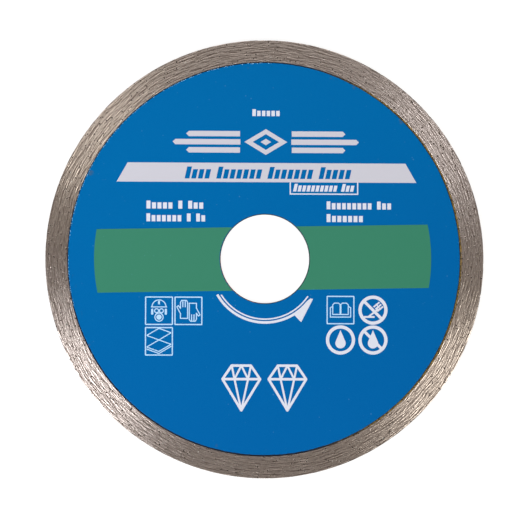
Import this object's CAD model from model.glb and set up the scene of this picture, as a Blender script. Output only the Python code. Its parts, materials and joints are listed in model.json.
import json
import math

import bmesh
import bpy
import numpy as np
from mathutils import Matrix, Vector


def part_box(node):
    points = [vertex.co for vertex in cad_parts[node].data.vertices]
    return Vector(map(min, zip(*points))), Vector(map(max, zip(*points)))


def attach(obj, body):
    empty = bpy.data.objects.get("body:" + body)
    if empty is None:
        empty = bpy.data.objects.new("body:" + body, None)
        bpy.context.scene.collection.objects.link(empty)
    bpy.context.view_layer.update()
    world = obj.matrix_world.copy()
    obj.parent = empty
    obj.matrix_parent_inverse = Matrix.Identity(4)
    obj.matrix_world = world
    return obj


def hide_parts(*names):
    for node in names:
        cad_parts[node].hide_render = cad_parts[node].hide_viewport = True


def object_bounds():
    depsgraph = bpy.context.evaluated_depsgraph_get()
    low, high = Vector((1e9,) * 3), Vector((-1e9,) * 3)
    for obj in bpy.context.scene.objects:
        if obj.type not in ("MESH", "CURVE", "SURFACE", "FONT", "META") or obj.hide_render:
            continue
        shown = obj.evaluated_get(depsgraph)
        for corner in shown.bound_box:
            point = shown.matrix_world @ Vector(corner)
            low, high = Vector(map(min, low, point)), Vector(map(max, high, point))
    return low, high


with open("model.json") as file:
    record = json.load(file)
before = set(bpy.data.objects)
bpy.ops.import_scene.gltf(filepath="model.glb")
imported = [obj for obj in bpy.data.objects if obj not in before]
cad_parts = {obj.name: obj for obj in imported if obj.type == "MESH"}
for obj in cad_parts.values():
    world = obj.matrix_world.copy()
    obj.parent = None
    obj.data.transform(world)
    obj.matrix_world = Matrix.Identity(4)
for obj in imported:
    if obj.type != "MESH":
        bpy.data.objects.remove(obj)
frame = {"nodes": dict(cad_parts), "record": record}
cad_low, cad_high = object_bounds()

MM = 0.001


# ---- Sizes that come from the frame ----


def mount_dims(name):
    """The stated dimensions of one of the record's mounts."""
    return next(m["dims"] for m in frame["record"]["mounts"] if m["name"] == name)


def node_radii(node):
    """The smallest and the largest distance of a CAD node's points from the spindle axis."""
    points = [v.co for v in frame["nodes"][node].data.vertices]
    radii = [math.hypot(p.x, p.y) for p in points]
    return min(radii), max(radii)


BORE_R = mount_dims("arbor_bore")["r_mm"] * MM
BLADE_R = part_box("edge_diamonds")[1].x
CORE_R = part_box("steel_core")[1].x
STEP_R, BOND_R = node_radii("diamond_rim")
COAT_BORE_R, COAT_R = node_radii("front_coat")
RIM_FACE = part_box("diamond_rim")[1].z
CORE_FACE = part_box("steel_core")[1].z
COAT_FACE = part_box("front_coat")[1].z
COAT_T = COAT_FACE - CORE_FACE


# ---- Noise and ring meshes ----


def lattice_noise(x, y, z, seed):
    """Smooth noise from -1 to 1 with one knot per unit of length."""
    size = 48
    knots = np.random.default_rng(seed).uniform(-1, 1, (size, size, size))
    place = np.stack(np.broadcast_arrays(x, y, z), axis=-1)
    cell = np.floor(place).astype(int)
    share = place - cell
    share = share * share * (3 - 2 * share)
    total = np.zeros(place.shape[:-1])
    for corner in np.ndindex(2, 2, 2):
        weight = np.prod(np.where(corner, share, 1 - share), axis=-1)
        index = (cell + corner) % size
        total += weight * knots[index[..., 0], index[..., 1], index[..., 2]]
    return total


def ring_noise(angle, across, around_mm, across_mm, seed):
    """Noise on a ring near the rim, with knots around_mm apart along it and across_mm across it."""
    reach = BLADE_R / (around_mm * MM)
    return lattice_noise(
        reach * np.cos(angle), reach * np.sin(angle), across / (across_mm * MM), seed
    )


def arc_gap(angle, centre):
    """Length along the rim from each angle to a centre angle, always positive."""
    turn = np.abs((angle - centre + math.pi) % (2 * math.pi) - math.pi)
    return turn * BLADE_R


def linked(name, data):
    """A new object for a mesh, a light or a camera, linked to the scene."""
    made = bpy.data.objects.new(name, data)
    bpy.context.scene.collection.objects.link(made)
    return made


def mesh_object(name, vertices, faces, smooth=True):
    """A new object from arrays of points and faces."""
    mesh = bpy.data.meshes.new(name)
    mesh.from_pydata(vertices.tolist(), [], faces.tolist())
    mesh.polygons.foreach_set("use_smooth", [smooth] * len(mesh.polygons))
    mesh.validate()
    return linked(name, mesh)


def emptied(solid):
    """The points and triangles of a bmesh, which is freed."""
    solid.verts.index_update()
    points = np.array([v.co for v in solid.verts])
    faces = np.array([[v.index for v in f.verts] for f in solid.faces])
    solid.free()
    return points, faces


def repeated(faces, count, points_each):
    """The faces of a number of copies of one shape, whose points follow each other."""
    shifts = np.arange(count)[:, None, None] * points_each
    return (faces[None] + shifts).reshape(-1, 3)


def ring_quads(steps, points):
    """The faces of a grid that closes on itself both ways."""
    row, column = np.meshgrid(np.arange(steps), np.arange(points), indexing="ij")
    next_row = (row + 1) % steps
    next_column = (column + 1) % points
    corners = [
        row * points + column,
        next_row * points + column,
        next_row * points + next_column,
        row * points + next_column,
    ]
    return np.stack(corners, axis=-1).reshape(-1, 4)


def ring_vertices(angle, radius, height):
    """Points of a grid whose rows are angles and whose columns run anticlockwise round a section."""
    height = np.broadcast_to(height, radius.shape)
    return np.stack([radius * np.cos(angle), radius * np.sin(angle), height], axis=-1).reshape(-1, 3)


def turn_angles(steps):
    """Evenly spaced angles for the rows of a ring's grid, in radians."""
    return np.linspace(0, 2 * math.pi, steps, endpoint=False)[:, None]


# ---- Shader building ----


def srgb(red, green, blue):
    """A linear colour from the 0 to 255 values of a screen colour."""
    shares = [channel / 255 for channel in (red, green, blue)]
    linear = [c / 12.92 if c <= 0.04045 else ((c + 0.055) / 1.055) ** 2.4 for c in shares]
    return (*linear, 1.0)


class Signal:
    """A number in a shader. Sums and products of signals become Math nodes."""

    def __init__(self, shader, socket):
        self.shader = shader
        self.socket = socket

    def __add__(self, other):
        return self.shader.math("ADD", self, other)

    def __sub__(self, other):
        return self.shader.math("SUBTRACT", self, other)

    def __mul__(self, other):
        return self.shader.math("MULTIPLY", self, other)

    def __truediv__(self, other):
        return self.shader.math("DIVIDE", self, other)


class Shader:
    """One node material round a Principled shader."""

    def __init__(self, name):
        self.material = bpy.data.materials.new(name)
        self.material.use_nodes = True
        self.tree = self.material.node_tree
        self.tree.nodes.clear()
        self.surface = self.node("BsdfPrincipled")
        self.output = self.node("OutputMaterial")
        self.feed(self.output.inputs["Surface"], self.surface.outputs[0])
        scaled = self.node("VectorMath", operation="SCALE")
        self.feed(scaled.inputs[0], self.node("TexCoord").outputs["Object"])
        scaled.inputs["Scale"].default_value = 1 / MM
        self.place_mm = scaled.outputs[0]

    def node(self, kind, **settings):
        made = self.tree.nodes.new("ShaderNode" + kind)
        for name, value in settings.items():
            setattr(made, name, value)
        return made

    def feed(self, socket, value):
        """Links a signal or a socket to an input, or sets the input to a plain value."""
        value = value.socket if isinstance(value, Signal) else value
        if isinstance(value, bpy.types.NodeSocket):
            self.tree.links.new(value, socket)
        else:
            socket.default_value = value

    def set(self, **inputs):
        """Sets or links inputs of the Principled shader. Underscores stand for spaces."""
        for name, value in inputs.items():
            self.feed(self.surface.inputs[name.replace("_", " ")], value)

    def math(self, operation, *values):
        made = self.node("Math", operation=operation)
        for socket, value in zip(made.inputs, values):
            self.feed(socket, value)
        return Signal(self, made.outputs[0])

    def parts(self, vector):
        """The three parts of a vector."""
        split = self.node("SeparateXYZ")
        self.feed(split.inputs[0], vector)
        return [Signal(self, output) for output in split.outputs]

    def vector(self, *parts):
        joined = self.node("CombineXYZ")
        for socket, part in zip(joined.inputs, parts):
            self.feed(socket, part)
        return joined.outputs[0]

    def polar(self):
        """Distance from the spindle axis in millimetres, and the two parts of the way outwards."""
        x, y, _ = self.parts(self.place_mm)
        radius = self.math("SQRT", x * x + y * y)
        return radius, x / radius, y / radius

    def noise(self, vector, scale=1.0, detail=2.0, roughness=0.5):
        made = self.node("TexNoise")
        made.noise_dimensions = "3D"
        self.feed(made.inputs["Vector"], vector)
        made.inputs["Scale"].default_value = scale
        made.inputs["Detail"].default_value = detail
        made.inputs["Roughness"].default_value = roughness
        return Signal(self, made.outputs[0])

    def cells(self, vector, scale=1.0, output="Distance"):
        """Random cells: the distance to the nearest cell's middle, or the cell's own random colour."""
        made = self.node("TexVoronoi")
        self.feed(made.inputs["Vector"], vector)
        made.inputs["Scale"].default_value = scale
        return Signal(self, made.outputs[output])

    def remap(self, value, low, high, to_low=0.0, to_high=1.0):
        """Takes low..high to to_low..to_high, smoothly, and holds the ends."""
        made = self.node("MapRange", interpolation_type="SMOOTHSTEP")
        for socket, number in zip(made.inputs, (value, low, high, to_low, to_high)):
            self.feed(socket, number)
        return Signal(self, made.outputs[0])

    def mix(self, share, first, second):
        """The first colour where the share is 0, and the second where it is 1."""
        made = self.node("Mix", data_type="RGBA")
        for index, value in ((0, share), (6, first), (7, second)):
            self.feed(made.inputs[index], value)
        return Signal(self, made.outputs[2])

    def bump(self, height, distance_mm):
        made = self.node("Bump")
        made.inputs["Distance"].default_value = distance_mm * MM
        self.feed(made.inputs["Height"], height)
        return made.outputs[0]


# ---- Materials ----


# Distance across the rim between the two noises whose difference makes the grinding lines
LINE_STEP_MM = 0.24


def fine_lines(s, out_x, out_y, track, around, across):
    """Lines that run round the rim. The difference of two noises side by side leaves no broad bands.

    around is the number of noise cells per radian, and across is the number per millimetre of track.
    """
    here = s.vector(out_x * around, out_y * around, track * across)
    beside = s.vector(out_x * around, out_y * around, (track + LINE_STEP_MM) * across)
    return s.noise(here, detail=0.0) - s.noise(beside, detail=0.0) + 0.5


def bond_material():
    """Sintered bond, ground in fine lines that run round the rim, with dark ragged pores."""
    s = Shader("ground_bond")
    radius, out_x, out_y = s.polar()
    x, y, z = s.parts(s.place_mm)
    # One track for the flats and the cutting edge. It drifts, so the lines aren't perfect circles
    drift = s.noise(s.vector(out_x * 5, out_y * 5, radius * 0.15), detail=0.0)
    track = radius + z + drift * 1.1
    lines = fine_lines(s, out_x, out_y, track, around=11, across=3.0)
    dashes = fine_lines(s, out_x, out_y, track, around=34, across=3.8)
    scratches = s.noise(s.vector(out_x * 18, out_y * 18, track * 7), detail=2.0)
    grains = s.noise(s.place_mm, scale=2.8, detail=2.0)
    patches = s.noise(s.place_mm, scale=0.3, detail=1.0)
    height = lines * 0.3 + dashes * 0.22 + grains * 0.12 + scratches * 0.2
    colour = s.mix(s.remap(height, 0.26, 0.55), srgb(129, 115, 108), srgb(228, 214, 205))
    colour = s.mix(s.remap(patches, 0.35, 0.7, 0.0, 0.12), colour, srgb(170, 155, 144))
    # Pores are cell middles with ragged edges, in the half of the cells that a random colour picks
    ragged = s.noise(s.place_mm, scale=3.0, detail=2.0) * 0.5
    place = s.vector(x + ragged, y - ragged, z)
    chance, _, _ = s.parts(s.cells(place, scale=1.3, output="Color").socket)
    pore = s.remap(s.cells(place, scale=1.3), 0.18, 0.3, 0.95, 0.0) * s.remap(chance, 0.5, 0.55)
    colour = s.mix(pore, colour, srgb(56, 47, 43))
    s.set(
        Base_Color=colour,
        Metallic=1.0,
        Roughness=s.remap(height, 0.3, 0.54, 0.59, 0.29) + pore * 0.25,
        Anisotropic=0.9,
        Anisotropic_Rotation=0.25,
        Normal=s.bump(height + lines * 0.28 + dashes * 0.06 - pore * 0.3, 0.12),
    )
    tangent = s.node("Tangent", direction_type="RADIAL", axis="Z")
    s.feed(s.surface.inputs["Tangent"], tangent.outputs[0])
    return s.material


def crystal_material():
    """Synthetic diamond grit: yellow-grey, with bright flat facets."""
    s = Shader("grit_crystal")
    tint = s.noise(s.place_mm, scale=0.9, detail=1.0)
    yellow = s.mix(s.remap(tint, 0.3, 0.6), srgb(84, 76, 62), srgb(128, 118, 98))
    s.set(
        Base_Color=s.mix(s.remap(tint, 0.6, 0.64), yellow, srgb(196, 192, 184)),
        Roughness=s.remap(s.noise(s.place_mm, scale=6.0), 0.3, 0.7, 0.12, 0.32),
        IOR=2.2,
        Normal=s.bump(s.noise(s.place_mm, scale=9.0), 0.01),
    )
    return s.material


def steel_material():
    """Rolled steel of the core: bare in the bore, and stained on the rings that the lacquer leaves."""
    s = Shader("core_steel_bare")
    radius, out_x, out_y = s.polar()
    _, _, z = s.parts(s.place_mm)
    lines = s.noise(s.vector(out_x * 40, out_y * 40, z * 1.5), scale=3.0, detail=3.0)
    blotch = s.noise(s.place_mm, scale=1.1, detail=3.0)
    bare = s.mix(s.remap(blotch, 0.3, 0.7), srgb(150, 148, 146), srgb(188, 186, 184))
    # The narrow ring at the bore is dark with overspray, and rusty towards 220 degrees
    rust_side = s.remap(out_x * 0.77 + out_y * 0.64, -0.6, -0.95)
    rust = rust_side * s.remap(blotch, 0.35, 0.6)
    overspray = s.mix(rust, srgb(12, 34, 58), srgb(150, 84, 36))
    # The ring at the rim is ochre on the right and in shadow elsewhere
    fleck = s.noise(s.place_mm, scale=2.4, detail=2.0)
    ochre = s.mix(s.remap(fleck, 0.4, 0.6), srgb(84, 70, 36), srgb(160, 132, 70))
    ochre = s.mix(s.remap(radius, STEP_R / MM - 0.42, STEP_R / MM - 0.26), srgb(34, 34, 26), ochre)
    shadowed = s.mix(s.remap(out_x, 0.2, 0.7), srgb(10, 22, 40), ochre)
    by_rim = s.remap(radius, COAT_R / MM - 1.2, COAT_R / MM - 0.6)
    by_bore = s.remap(radius, BORE_R / MM + 0.002, BORE_R / MM + 0.012, 1.0, 0.0)
    colour = s.mix(by_rim, s.mix(by_bore, overspray, bare), shadowed)
    s.set(
        Base_Color=colour,
        Metallic=s.remap(by_rim - by_bore, -1.0, 0.0, 1.0, 0.3),
        Roughness=s.remap(lines, 0.3, 0.7, 0.3, 0.5),
        Normal=s.bump(lines, 0.02),
    )
    return s.material


def film_material(name, light, dark, roughness, specular, peel_mm=0.01, dust=0.1, smudge=0.0):
    """A film with a slight mottle, a soft orange peel, light dust and rusty smudges by the rim."""
    s = Shader(name)
    x, y, _ = s.parts(s.place_mm)
    # The tone darkens from the top to the bottom, a little towards the right
    down = s.remap(x * 0.35 - y * 0.94, -45.0, 45.0)
    mottle = s.noise(s.place_mm, scale=0.8, detail=4.0, roughness=0.65)
    colour = s.mix(down * 0.7 + mottle * 0.3, light, dark)
    specks = s.cells(s.place_mm, scale=0.6)
    size = s.noise(s.place_mm, scale=0.7, detail=0.0)
    colour = s.mix(s.remap(specks + size * 0.2, 0.1, 0.18, dust, 0.0), colour, srgb(120, 180, 220))
    radius, _, _ = s.polar()
    by_rim = s.remap(radius, COAT_R / MM - 2.0, COAT_R / MM - 0.4, 0.0, smudge)
    rusty = s.remap(s.noise(s.place_mm, scale=0.45, detail=2.0), 0.66, 0.74)
    colour = s.mix(by_rim * rusty, colour, srgb(74, 88, 96))
    peel = s.noise(s.place_mm, scale=0.9, detail=1.0)
    grain = s.noise(s.place_mm, scale=7.0, detail=2.0)
    s.set(
        Base_Color=colour,
        Roughness=s.remap(grain, 0.3, 0.7, roughness - 0.05, roughness + 0.05),
        Specular_IOR_Level=specular,
        Normal=s.bump(peel * 0.8 + grain * 0.2, peel_mm),
    )
    return s.material


def floor_material():
    """Plain white lit paper, which can be seen through from below so that the rear can be looked at."""
    s = Shader("floor_paper")
    tone = s.noise(s.place_mm, scale=0.004, detail=2.0)
    white = s.mix(tone, (0.18, 0.18, 0.18, 1.0), (0.2, 0.2, 0.2, 1.0))
    s.set(
        Base_Color=white,
        Roughness=0.9,
        Specular_IOR_Level=0.1,
        Emission_Color=(1.0, 1.0, 1.0, 1.0),
        Emission_Strength=0.88,
    )
    see_through = s.node("MixShader")
    s.feed(see_through.inputs[0], s.node("NewGeometry").outputs["Backfacing"])
    s.feed(see_through.inputs[1], s.surface.outputs[0])
    s.feed(see_through.inputs[2], s.node("BsdfTransparent").outputs[0])
    s.feed(s.output.inputs["Surface"], see_through.outputs[0])
    return s.material


BOND = bond_material()
CRYSTAL = crystal_material()
STEEL = steel_material()
BLUE = film_material(
    "blue_film", srgb(0, 101, 164), srgb(1, 92, 159), 0.3, 0.07, peel_mm=0.02, dust=0.2, smudge=0.5
)
GREEN = film_material(
    "green_film", srgb(57, 126, 103), srgb(54, 124, 97), 0.36, 0.12, peel_mm=0.012, dust=0.12
)
BEAD = film_material("bead_film", srgb(136, 192, 232), srgb(96, 164, 216), 0.16, 0.8)
# The ink looks bluer the thinner its lines are
WHITE = film_material("white_film", srgb(196, 196, 207), srgb(194, 195, 206), 0.36, 0.2)
FINE_WHITE = film_material("fine_film", srgb(212, 216, 229), srgb(209, 213, 226), 0.3, 0.2)
THIN_WHITE = film_material("thin_film", srgb(178, 214, 244), srgb(174, 210, 240), 0.3, 0.2)


def dress(piece, material):
    """Gives a new piece its one material and its body."""
    piece.data.materials.append(material)
    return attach(piece, "root")


# ---- Ground rim ----

# Depth that grinding leaves the bond below the tops of its crystals
LAND = 0.02 * MM
# Radii of the rim's worn outer corners and of its sharper inner ones
CORNER = 0.14 * MM
INNER_CORNER = 0.07 * MM
CORNER_STEPS = 3
# Rows round the rim, and points across each flat and across the cutting edge
RIM_STEPS = 1340
FLAT_RINGS = 26
WALL_RINGS = 7
# Width of the band that nicks and chatter wear back from the cutting edge
EDGE_BAND = 0.35 * MM
# Surfaces nearer than this to the core's channel aren't worn
CHANNEL_MARGIN = 0.05 * MM
# Shift between the noise of the front and of the rear, so that the two have different marks
REAR_SHIFT = 20 * MM
PITS_PER_SIDE = 120
EDGE_NICKS = 40
# Round lugs of bond in the core's gullets: how many, sides of each, radius, and depth of their centres
LUGS = 36
LUG_SIDES = 20
LUG_R = 0.9 * MM
LUG_INSET = 0.54 * MM


def corner_points(r, z, start, radius):
    """Section points round a corner: a quarter arc centred on (r, z), from a start angle in degrees."""
    turns = [math.radians(start + 90 * i / CORNER_STEPS) for i in range(CORNER_STEPS + 1)]
    return [(r + radius * math.cos(t), z + radius * math.sin(t)) for t in turns]


def rim_section():
    """The rim's section, anticlockwise: rear flat, cutting edge, front flat and core's channel."""
    face = RIM_FACE - LAND
    outer = BOND_R - CORNER
    inner = STEP_R + INNER_CORNER
    flat = np.linspace(inner, outer, FLAT_RINGS)
    wall = np.linspace(-face + CORNER, face - CORNER, WALL_RINGS)[1:-1]
    section = [(r, -face) for r in flat[1:-1]]
    section += corner_points(outer, -face + CORNER, 270, CORNER)
    section += [(BOND_R, z) for z in wall]
    section += corner_points(outer, face - CORNER, 0, CORNER)
    section += [(r, face) for r in flat[-2:0:-1]]
    section += corner_points(inner, face - INNER_CORNER, 90, INNER_CORNER)
    section += [(STEP_R, CORE_FACE), (CORE_R, CORE_FACE), (CORE_R, -CORE_FACE), (STEP_R, -CORE_FACE)]
    section += corner_points(inner, -face + INNER_CORNER, 180, INNER_CORNER)
    return np.array(section)


def pit_depths(angle, radius, seed, count):
    """Depth of round pits, where a crystal has been pulled out of the bond."""
    rng = np.random.default_rng(seed)
    depth = np.zeros(radius.shape)
    for _ in range(count):
        centre = rng.uniform(0, 2 * math.pi)
        at = rng.uniform(STEP_R + 0.4 * MM, BOND_R - 0.3 * MM)
        reach = rng.uniform(0.3, 0.6) * MM
        deep = rng.uniform(0.005, 0.015) * MM
        rows = np.nonzero(arc_gap(angle[:, 0], centre) < 3 * reach)[0]
        away = np.hypot(arc_gap(angle[rows], centre), radius[rows] - at) / reach
        depth[rows] = np.maximum(depth[rows], deep * np.exp(-(away**2)))
    return depth


def nick_depths(angle, seed):
    """Depth of the small nicks that wear leaves along the cutting edge, by angle."""
    rng = np.random.default_rng(seed)
    depth = np.zeros(angle.shape)
    for _ in range(EDGE_NICKS):
        centre = rng.uniform(0, 2 * math.pi)
        reach = rng.uniform(0.2, 0.45) * MM
        deep = rng.uniform(0.02, 0.09) * MM
        depth = np.maximum(depth, deep * np.exp(-((arc_gap(angle, centre) / reach) ** 2)))
    return depth


def lug_solids():
    """The rim's round lugs, which fill the gullets of the core: their points and faces."""
    centre_r = CORE_R - LUG_INSET
    turn = np.linspace(0, 2 * math.pi, LUG_SIDES, endpoint=False)
    points = []
    faces = []
    for lug in range(LUGS):
        at = 2 * math.pi * lug / LUGS
        first = len(points)
        for height in (-CORE_FACE, CORE_FACE):
            for t in turn:
                out = min(centre_r + LUG_R * math.cos(t), CORE_R)
                side = LUG_R * math.sin(t)
                x = out * math.cos(at) - side * math.sin(at)
                y = out * math.sin(at) + side * math.cos(at)
                points.append((x, y, height))
        lower = [first + i for i in range(LUG_SIDES)]
        upper = [first + LUG_SIDES + i for i in range(LUG_SIDES)]
        faces.append(lower[::-1])
        faces.append(upper)
        for i in range(LUG_SIDES):
            j = (i + 1) % LUG_SIDES
            faces.append([lower[i], lower[j], upper[j], upper[i]])
    return points, faces


def ground_rim():
    """The bond, with shallow relief and pits in its flats, and nicks in its cutting edge."""
    angle = turn_angles(RIM_STEPS)
    section = rim_section()
    radius = np.tile(section[:, 0], (RIM_STEPS, 1))
    height = np.tile(section[:, 1], (RIM_STEPS, 1))
    worn = np.abs(height) > CORE_FACE + CHANNEL_MARGIN
    outer = radius > STEP_R + CHANNEL_MARGIN
    side = np.sign(height)
    marks = ring_noise(angle, radius + REAR_SHIFT * side, 4.0, 0.5, 12)
    relief = 0.002 * MM * (1 + marks)
    front_pits = pit_depths(angle, radius, 21, PITS_PER_SIDE) * (side > 0)
    rear_pits = pit_depths(angle, radius, 22, PITS_PER_SIDE) * (side < 0)
    relief = np.where(worn & outer, relief + front_pits + rear_pits, 0)
    edge = np.clip((radius - (BOND_R - EDGE_BAND)) / EDGE_BAND, 0, 1)
    nicks = nick_depths(angle, 23) * (side > 0) + nick_depths(angle, 24) * (side <= 0)
    chatter = 0.006 * MM * (1 + ring_noise(angle, height, 2.0, 0.5, 14))
    radius = radius - edge * (nicks + chatter)
    height = height - side * (relief + 0.5 * edge * nicks * worn)
    points = ring_vertices(angle, radius, height).tolist()
    faces = ring_quads(*radius.shape).tolist()
    lug_points, lug_faces = lug_solids()
    faces += [[len(points) + i for i in face] for face in lug_faces]
    mesh = bpy.data.meshes.new("ground_rim")
    mesh.from_pydata(points + lug_points, [], faces)
    mesh.polygons.foreach_set("use_smooth", [True] * len(mesh.polygons))
    made = linked("ground_rim", mesh)
    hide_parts("diamond_rim")
    return dress(made, BOND)


# ---- Diamond grit ----

CRYSTALS_PER_SIDE = 900
CRYSTALS_ON_EDGE = 620
# Smallest and largest radius of a crystal
CRYSTAL_R = (0.12 * MM, 0.21 * MM)
# Width of the rings that crystals keep clear of on a flat, by the step and by the cutting edge
GRIT_STEP_GAP = 0.35 * MM
GRIT_EDGE_GAP = 0.3 * MM


def grit_shape():
    """A cuboctahedron that reaches 1 from its middle, the usual shape of saw grit: points and faces."""
    ball = bmesh.new()
    for i, j in ((0, 1), (0, 2), (1, 2)):
        for s in (-1, 1):
            for t in (-1, 1):
                corner = [0.0, 0.0, 0.0]
                corner[i] = s * math.sqrt(0.5)
                corner[j] = t * math.sqrt(0.5)
                ball.verts.new(corner)
    bmesh.ops.convex_hull(ball, input=ball.verts)
    return emptied(ball)


def random_turns(rng, count):
    """Random rotation matrices, from random unit quaternions."""
    q = rng.normal(size=(count, 4))
    w, x, y, z = (q / np.linalg.norm(q, axis=1, keepdims=True)).T
    rows = [
        [1 - 2 * (y * y + z * z), 2 * (x * y - z * w), 2 * (x * z + y * w)],
        [2 * (x * y + z * w), 1 - 2 * (x * x + z * z), 2 * (y * z - x * w)],
        [2 * (x * z - y * w), 2 * (y * z + x * w), 1 - 2 * (x * x + y * y)],
    ]
    return np.array(rows).transpose(2, 0, 1)


def grit(name, node, centres, sizes, limit, seed):
    """Crystals at the given centres. limit flattens the points that stand above the ground surface."""
    corners, faces = grit_shape()
    rng = np.random.default_rng(seed)
    turned = np.einsum("nij,kj->nki", random_turns(rng, len(centres)), corners)
    points = limit(centres[:, None, :] + turned * sizes[:, None, None])
    all_faces = repeated(faces, len(centres), len(corners))
    made = mesh_object(name, points.reshape(-1, 3), all_faces, smooth=False)
    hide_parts(node)
    return dress(made, CRYSTAL)


def side_grit(name, node, side, seed):
    """Crystals in one flat of the rim, with their tops ground off level."""
    rng = np.random.default_rng(seed)
    count = CRYSTALS_PER_SIDE
    turn = rng.uniform(0, 2 * math.pi, count)
    sizes = rng.uniform(*CRYSTAL_R, count)
    inner = STEP_R + GRIT_STEP_GAP
    outer = BOND_R - GRIT_EDGE_GAP
    out = np.sqrt(rng.uniform(inner**2, outer**2, count))
    top = RIM_FACE - rng.uniform(0.0, 0.02, count) * MM
    depth = sizes * rng.uniform(0.35, 0.8, count)
    centres = np.stack([out * np.cos(turn), out * np.sin(turn), side * (top - depth)], axis=1)

    def ground(points):
        points[..., 2] = side * np.minimum(side * points[..., 2], top[:, None])
        return points

    return grit(name, node, centres, sizes, ground, seed + 1)


def edge_grit():
    """Crystals in the cutting edge, which stand proud of the bond."""
    rng = np.random.default_rng(41)
    count = CRYSTALS_ON_EDGE
    turn = rng.uniform(0, 2 * math.pi, count)
    sizes = rng.uniform(*CRYSTAL_R, count)
    height = rng.uniform(-0.7, 0.7, count) * MM
    proud = BLADE_R - rng.uniform(0.0, 0.03, count) * MM
    out = proud - sizes * rng.uniform(0.45, 0.8, count)
    centres = np.stack([out * np.cos(turn), out * np.sin(turn), height], axis=1)

    def trimmed(points):
        reach = np.hypot(points[..., 0], points[..., 1])
        points[..., :2] *= np.minimum(1, proud[:, None] / reach)[..., None]
        return points

    return grit("edge_grit", "edge_diamonds", centres, sizes, trimmed, 42)


# ---- Lacquer ----

COAT_STEPS = 1440
# Points across the film between its outer edge and the bore
COAT_RINGS = 12
# Width of the rounded lip of the film at the bore
COAT_LIP = 0.1 * MM
# Gap that the film leaves to the step where it runs nearest to it
NEAR_GAP = 0.21 * MM


def coverage(angle):
    """1 where the lacquer runs nearly to the rim's step and 0 where it stops short, by angle."""
    left = np.cos(angle - math.radians(130))
    return 1 / (1 + np.exp(-12 * (left - 0.5)))


def lacquer_film(name, node, side, cover, seed):
    """A film of lacquer with a soft outer edge, raised and uneven where it is near the step."""
    angle = turn_angles(COAT_STEPS)
    share = cover(angle)
    wobble = 0.05 * MM * ring_noise(angle, np.zeros(1), 1.6, 1.0, seed)
    # Where the film stops short of the step, the gap is widest on the right
    right = (1 + np.cos(angle)) / 2
    free_r = STEP_R - (0.25 + 0.28 * right) * MM + wobble
    edge_r = free_r + (STEP_R - NEAR_GAP - free_r) * share
    inset = np.array([0, 0.02, 0.05, 0.09, 0.14, 0.2, 0.28, 0.4, 0.6, 0.9, 1.4, 2.2, 3.2]) * MM
    top_r = edge_r - inset
    lip_start = np.full(COAT_STEPS, COAT_BORE_R + COAT_LIP)
    flat_r = np.linspace(top_r[:, -1], lip_start, COAT_RINGS, axis=1)[:, 1:]
    lip_r = np.full((COAT_STEPS, 1), COAT_BORE_R) + np.array([[0.04, 0.012, 0.0]]) * MM
    # The film thins to nothing at its edge, under a ridge of beads and runs
    fall = 1 - np.exp(-inset / (0.035 * MM))
    climb = np.exp(-inset / (0.11 * MM))
    beads = np.clip(ring_noise(angle, np.zeros(1), 0.85, 1.0, seed + 1), 0, 1)
    runs = np.clip(ring_noise(angle, np.zeros(1), 5.0, 1.0, seed + 2), -0.6, 1)
    rise = share * (0.01 + 0.03 * beads + 0.01 * runs) * MM
    top_z = CORE_FACE + COAT_T * fall + rise * climb
    flat_z = np.full(flat_r.shape, COAT_FACE)
    lip_z = CORE_FACE + COAT_T * np.tile([0.95, 0.75, 0.3], (COAT_STEPS, 1))
    under_r = np.concatenate([np.full((COAT_STEPS, 1), COAT_BORE_R), edge_r], axis=1)
    radius = np.concatenate([top_r, flat_r, lip_r, under_r], axis=1)
    height = np.concatenate([top_z, flat_z, lip_z, np.full(under_r.shape, CORE_FACE)], axis=1)
    faces = ring_quads(*radius.shape)
    if side < 0:
        faces = faces[:, ::-1]
    made = mesh_object(name, ring_vertices(angle, radius, side * height), faces)
    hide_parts(node)
    return dress(made, BLUE)


# Where the row of drops starts and ends, in degrees
BEADS_FROM = 88
BEADS_TO = 194


def bead_row():
    """Small drops that the lacquer leaves beside the rim's step on one side of the front."""
    ball = bmesh.new()
    bmesh.ops.create_icosphere(ball, subdivisions=2, radius=1.0)
    shape, faces = emptied(ball)
    rng = np.random.default_rng(71)
    at = math.radians(BEADS_FROM)
    points = []
    while at < math.radians(BEADS_TO):
        long, wide, high = rng.uniform((0.08, 0.07, 0.02), (0.17, 0.12, 0.06)) * MM
        out = STEP_R - rng.uniform(0.19, 0.34) * MM
        local = shape * (wide, long, high) + (out, 0, COAT_FACE)
        x = local[:, 0] * math.cos(at) - local[:, 1] * math.sin(at)
        y = local[:, 0] * math.sin(at) + local[:, 1] * math.cos(at)
        points.append(np.stack([x, y, local[:, 2]], axis=1))
        at += (long * 2 + rng.exponential(0.5) * MM) / out
    all_faces = repeated(faces, len(points), len(shape))
    made = mesh_object("lacquer_beads", np.concatenate(points), all_faces)
    return dress(made, BEAD)


# ---- Assembly ----

ground_rim()
side_grit("front_grit", "front_diamonds", 1, 31)
side_grit("rear_grit", "rear_diamonds", -1, 34)
edge_grit()
lacquer_film("front_lacquer", "front_coat", 1, coverage, 51)
bead_row()
# The rear's film is turned by 2 radians, so that its edge doesn't follow the front's
lacquer_film("rear_lacquer", "rear_coat", -1, lambda angle: coverage(angle + 2.0), 61)

FINISHES = {
    "steel_core": STEEL,
    "green_band": GREEN,
    "title_banner": WHITE,
    "emblem": WHITE,
    "mask_mark": THIN_WHITE,
    "glove_mark": THIN_WHITE,
    "tile_mark": THIN_WHITE,
    "manual_mark": THIN_WHITE,
}

for name, node in frame["nodes"].items():
    for material_slot in node.material_slots:
        material_slot.material = FINISHES.get(name, FINE_WHITE)

# ---- Floor, lights and camera ----


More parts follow.
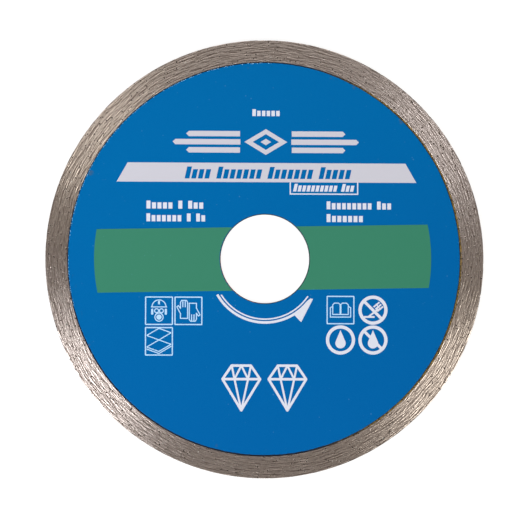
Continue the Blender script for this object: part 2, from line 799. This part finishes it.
def paper_floor():
    """A wide round sheet that the rim rests on."""
    disc = bmesh.new()
    bmesh.ops.create_circle(disc, cap_ends=True, radius=4.0, segments=96)
    mesh = bpy.data.meshes.new("floor")
    disc.to_mesh(mesh)
    disc.free()
    mesh.materials.append(floor_material())
    floor = linked("floor", mesh)
    floor.location.z = cad_low.z


def heading(azimuth, elevation):
    """The unit vector towards an azimuth and an elevation in degrees."""
    turn = math.radians(azimuth)
    rise = math.radians(elevation)
    return Vector((math.cos(rise) * math.cos(turn), math.cos(rise) * math.sin(turn), math.sin(rise)))


def softbox(name, azimuth, elevation, distance, width, height, radiance, tint=(1, 1, 1)):
    """A rectangular light of a given radiance and tint that faces the blade's middle."""
    lamp = bpy.data.lights.new(name, "AREA")
    lamp.color = tint
    lamp.shape = "RECTANGLE"
    lamp.size = width
    lamp.size_y = height
    lamp.energy = radiance * math.pi * width * height
    away = heading(azimuth, elevation)
    box = linked(name, lamp)
    box.location = distance * away
    box.rotation_mode = "QUATERNION"
    box.rotation_quaternion = (-away).to_track_quat("-Z", "Y")


def studio_world(stops):
    """Pale walls round a darker ceiling, from pairs of a height from 0 to 1 and a radiance."""
    world = bpy.data.worlds.new("studio")
    world.use_nodes = True
    tree = world.node_tree
    place = tree.nodes.new("ShaderNodeTexCoord")
    split = tree.nodes.new("ShaderNodeSeparateXYZ")
    ramp = tree.nodes.new("ShaderNodeValToRGB")
    for position, radiance in stops:
        if position == 0:
            stop = ramp.color_ramp.elements[0]
        elif position == 1:
            stop = ramp.color_ramp.elements[-1]
        else:
            stop = ramp.color_ramp.elements.new(position)
        stop.color = (radiance, radiance * 0.9, radiance * 0.82, 1)
    background = tree.nodes["Background"]
    tree.links.new(place.outputs["Generated"], split.inputs[0])
    tree.links.new(split.outputs["Z"], ramp.inputs[0])
    tree.links.new(ramp.outputs[0], background.inputs["Color"])
    bpy.context.scene.world = world


def photo_camera():
    """A long lens almost straight above the blade, very slightly rolled."""
    lens = bpy.data.cameras.new("camera")
    lens.sensor_width = 36
    lens.lens = 237.4
    target = Vector((-0.47 * MM, -1.02 * MM, 0))
    distance = 0.87
    away = heading(225, 86.4)
    roll = math.radians(0.22)
    right = Vector((math.sin(roll), math.cos(roll), 0)).cross(away).normalized()
    up = away.cross(right)
    camera = linked("camera", lens)
    camera.location = target + distance * away
    camera.rotation_mode = "QUATERNION"
    camera.rotation_quaternion = Matrix((right, up, away)).transposed().to_quaternion()
    bpy.context.scene.camera = camera


paper_floor()
studio_world([(0, 0.85), (0.35, 0.4), (0.85, 0.3), (0.93, 0.06), (1, 0.06)])
# Azimuth and elevation in degrees, then distance, width and height in metres, radiance and tint
softbox("left_softbox", 214, 45, 0.50, 0.24, 0.30, 8.0, (1, 1.03, 1.08))
softbox("right_softbox", 330, 45, 0.70, 0.27, 0.38, 5.8, (1, 0.985, 0.905))
softbox("top_panel", 102, 42, 0.20, 0.30, 0.10, 1.0)
softbox("front_panel", 270, 42, 0.30, 0.16, 0.12, 0.4)
photo_camera()
bpy.context.scene.view_settings.view_transform = "Standard"
